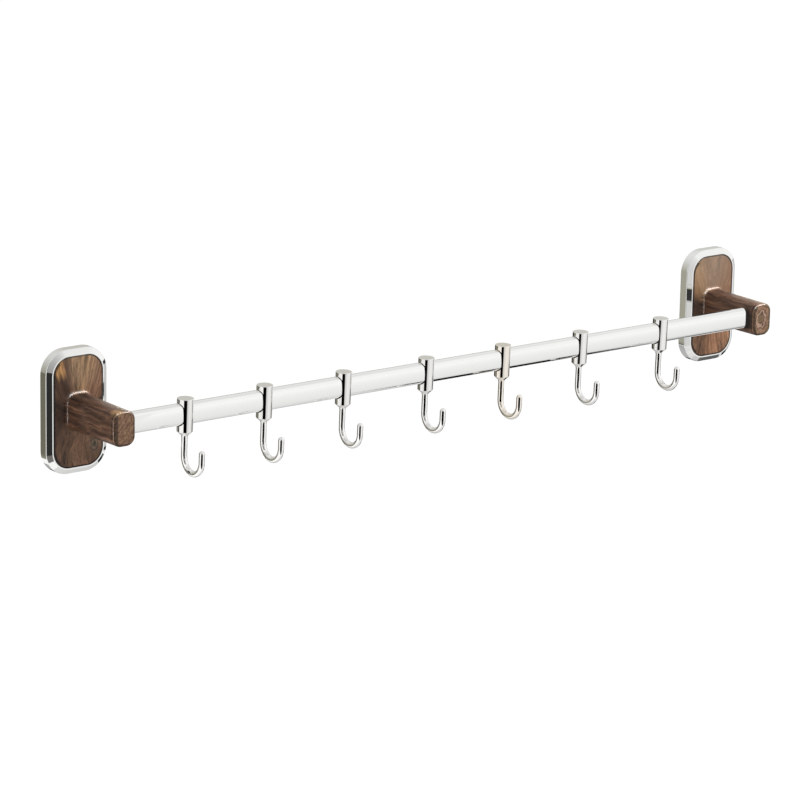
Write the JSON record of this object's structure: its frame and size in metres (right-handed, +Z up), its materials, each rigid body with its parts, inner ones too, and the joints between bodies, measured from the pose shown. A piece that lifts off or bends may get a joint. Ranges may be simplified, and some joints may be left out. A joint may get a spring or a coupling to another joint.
{
  "type": "kitchen utensil rail",
  "caption": "Wall-mounted kitchen utensil rail: a flat oval chrome bar on wood-grain arms with chrome bezels, carrying sliding J-hooks.",
  "frame": {"origin": "on the face of the wall, midway between the two brackets, at the height of the rail's axis", "axes": "+X along the rail to the right as seen from the room, +Y into the wall, +Z up"},
  "size_m": [0.651, 0.0791, 0.0908],
  "materials": {
    "chrome_rail": "polished",
    "chrome_bezel": "polished",
    "chrome_hook": "polished",
    "walnut_arm": "wood-grain film under a semi-gloss coat",
    "zinc_steel": "zinc plated",
    "screw_steel": "plain"
  },
  "bodies": {
    "wall_rail": {"rail": "chrome_rail", "bezel_left": "chrome_bezel", "arm_left": "walnut_arm", "wall_plate_left": "zinc_steel", "arm_screws_left": "screw_steel", "grub_screw_left": "screw_steel", "bezel_right": "chrome_bezel", "arm_right": "walnut_arm", "wall_plate_right": "zinc_steel", "arm_screws_right": "screw_steel", "grub_screw_right": "screw_steel"},
    "hook_1": {"hook_body_1": "chrome_hook", "hook_rod_1": "chrome_hook"},
    "hook_2": {"hook_body_2": "chrome_hook", "hook_rod_2": "chrome_hook"},
    "hook_3": {"hook_body_3": "chrome_hook", "hook_rod_3": "chrome_hook"},
    "hook_4": {"hook_body_4": "chrome_hook", "hook_rod_4": "chrome_hook"},
    "hook_5": {"hook_body_5": "chrome_hook", "hook_rod_5": "chrome_hook"},
    "hook_6": {"hook_body_6": "chrome_hook", "hook_rod_6": "chrome_hook"},
    "hook_7": {"hook_body_7": "chrome_hook", "hook_rod_7": "chrome_hook"}
  },
  "joints": [
    {"name": "hook_1_slide", "type": "slide", "parent": "wall_rail", "child": "hook_1", "axis": [1, 0, 0], "range_m": [-0.04409, 0.0564]},
    {"name": "hook_2_slide", "type": "slide", "parent": "wall_rail", "child": "hook_2", "axis": [1, 0, 0], "range_m": [-0.0564, 0.05815]},
    {"name": "hook_3_slide", "type": "slide", "parent": "wall_rail", "child": "hook_3", "axis": [1, 0, 0], "range_m": [-0.05815, 0.06367]},
    {"name": "hook_4_slide", "type": "slide", "parent": "wall_rail", "child": "hook_4", "axis": [1, 0, 0], "range_m": [-0.06367, 0.06018]},
    {"name": "hook_5_slide", "type": "slide", "parent": "wall_rail", "child": "hook_5", "axis": [1, 0, 0], "range_m": [-0.06018, 0.06338]},
    {"name": "hook_6_slide", "type": "slide", "parent": "wall_rail", "child": "hook_6", "axis": [1, 0, 0], "range_m": [-0.06338, 0.06832]},
    {"name": "hook_7_slide", "type": "slide", "parent": "wall_rail", "child": "hook_7", "axis": [1, 0, 0], "range_m": [-0.06832, 0.07926]}
  ]
}
